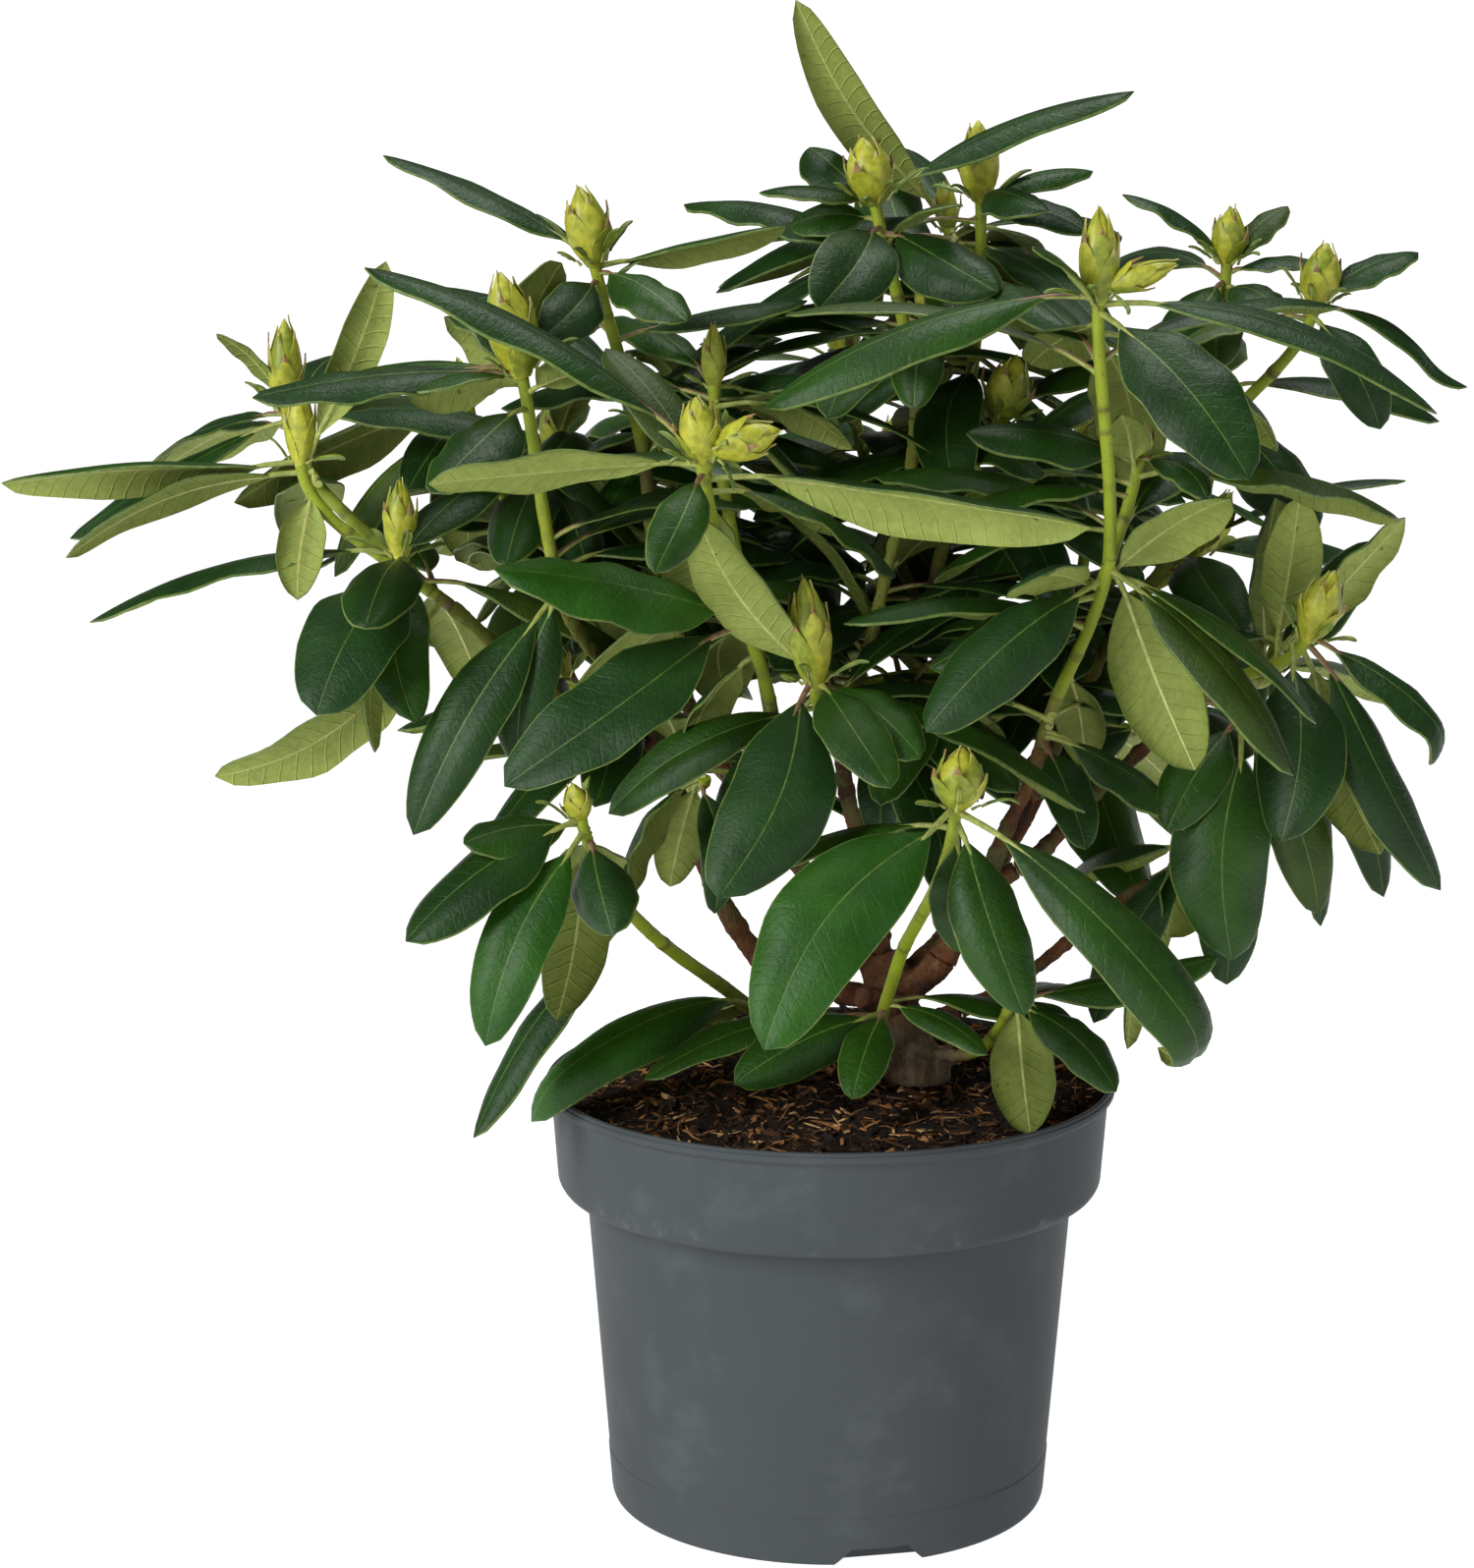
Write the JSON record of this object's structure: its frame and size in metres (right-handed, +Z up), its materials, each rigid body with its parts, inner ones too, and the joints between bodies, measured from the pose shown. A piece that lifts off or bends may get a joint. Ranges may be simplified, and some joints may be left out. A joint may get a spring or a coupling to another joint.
{
  "type": "potted rhododendron",
  "caption": "Young evergreen rhododendron in bud, a low spreading crown of leaf whorls on a short forked trunk, growing in a round nursery pot.",
  "frame": {"origin": "middle of the flat underside of the pot, on the surface it stands on", "axes": "+Z up along the pot's axis, -Y towards the side that the picture shows, +X to its right"},
  "size_m": [0.563, 0.4312, 0.599],
  "materials": {
    "pot_plastic": "satin slate grey",
    "growing_medium": "coarse dark bark compost",
    "bark": "matt brown bark",
    "foliage": "semi-gloss evergreen leaves"
  },
  "bodies": {
    "root": {"bough_back_left": "bark", "bough_back_middle": "bark", "bough_back_right": "bark", "bough_far_left": "bark", "bough_front_left": "bark", "bough_left": "bark", "bough_left_high": "bark", "bough_left_top": "bark", "bough_middle": "bark", "bough_middle_high": "bark", "bough_right": "bark", "bough_right_back": "bark", "bough_right_front": "bark", "bough_right_low": "bark", "bough_right_side": "bark", "foliage_back_left": "foliage", "foliage_back_low_left": "foliage", "foliage_back_low_right": "foliage", "foliage_back_middle": "foliage", "foliage_back_right": "foliage", "foliage_far_left": "foliage", "foliage_foot_right": "foliage", "foliage_front_left": "foliage", "foliage_front_low": "foliage", "foliage_front_middle": "foliage", "foliage_front_right": "foliage", "foliage_left_back": "foliage", "foliage_left_high": "foliage", "foliage_left_low": "foliage", "foliage_left_top": "foliage", "foliage_low_left": "foliage", "foliage_middle": "foliage", "foliage_middle_top": "foliage", "foliage_right": "foliage", "foliage_right_high": "foliage", "foliage_right_low": "foliage", "foliage_top": "foliage", "growing_medium": "growing_medium", "pot": "pot_plastic", "trunk": "bark"}
  },
  "joints": []
}
